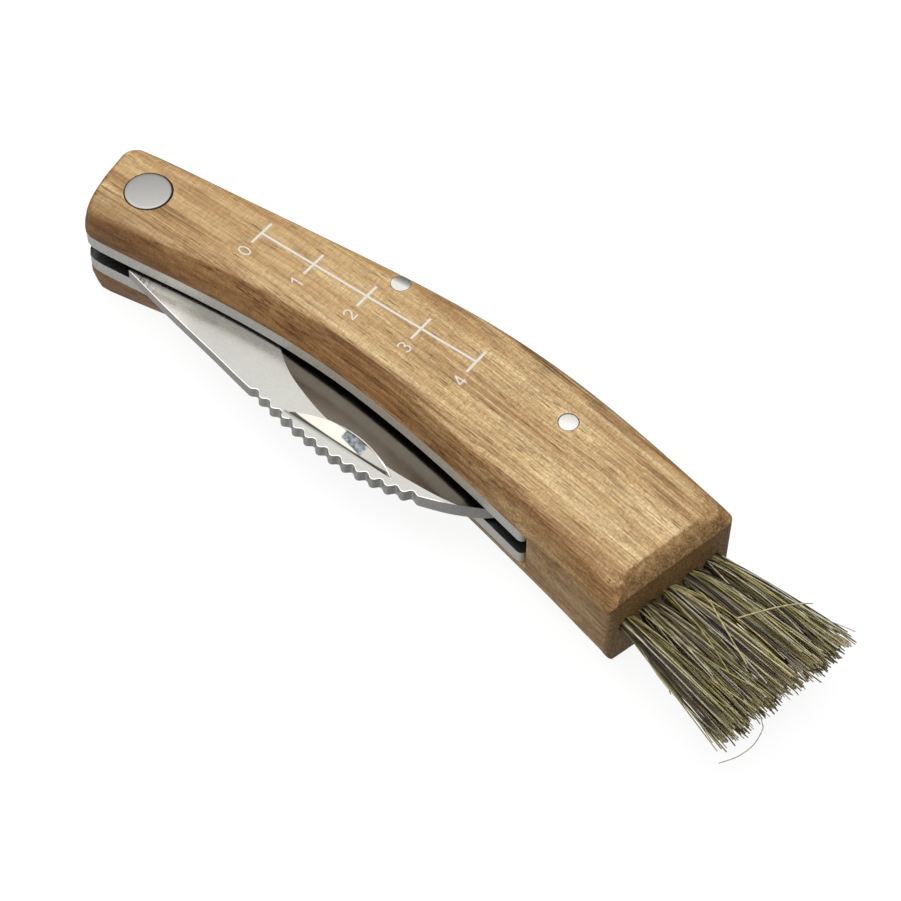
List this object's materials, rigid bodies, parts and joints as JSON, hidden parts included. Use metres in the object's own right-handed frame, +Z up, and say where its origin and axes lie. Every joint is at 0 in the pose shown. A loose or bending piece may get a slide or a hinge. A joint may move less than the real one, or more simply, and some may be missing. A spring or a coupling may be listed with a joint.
{
  "type": "mushroom knife",
  "caption": "Folding mushroom knife: curved wooden handle with a printed centimetre scale, hooked blade with a scalloped back, and a fan of bristle tufts set in the butt.",
  "frame": {"origin": "under the middle of the closed knife's bounding box, on the flat wooden face that it lies on", "axes": "+X from the pivot end to the brush, +Y from the belly, where the blade folds in, to the back, +Z up through the thickness"},
  "size_m": [0.134, 0.0342, 0.0181],
  "materials": {
    "wood": "oiled, satin, with dark pores along the grain",
    "liner_steel": "satin",
    "spring_steel": "satin",
    "blade_steel": "fine satin",
    "rivet_steel": "bright satin",
    "pin_steel": "ground flush and polished",
    "bronze": "plain",
    "bristle": "loose natural bristle, matt",
    "wire": "drawn wire"
  },
  "bodies": {
    "grip": {"handle": "wood", "upper_liner": "liner_steel", "lower_liner": "liner_steel", "backspring": "spring_steel", "pivot_rivet_barrel": "rivet_steel", "pivot_rivet_pin": "rivet_steel", "upper_washer": "bronze", "lower_washer": "bronze", "mid_pin": "pin_steel", "end_pin": "pin_steel", "tuft_1": "bristle", "tuft_2": "bristle", "tuft_3": "bristle", "tuft_4": "bristle", "tuft_5": "bristle", "staple_1": "wire", "staple_2": "wire", "staple_3": "wire", "staple_4": "wire", "staple_5": "wire"},
    "blade": {"blade": "blade_steel"}
  },
  "joints": [
    {"name": "blade_pivot", "type": "hinge", "parent": "grip", "child": "blade", "pos_m": [-0.05762, 0.00444, 0.009], "axis": [0, 0, -1], "range_deg": [0, 180]}
  ]
}
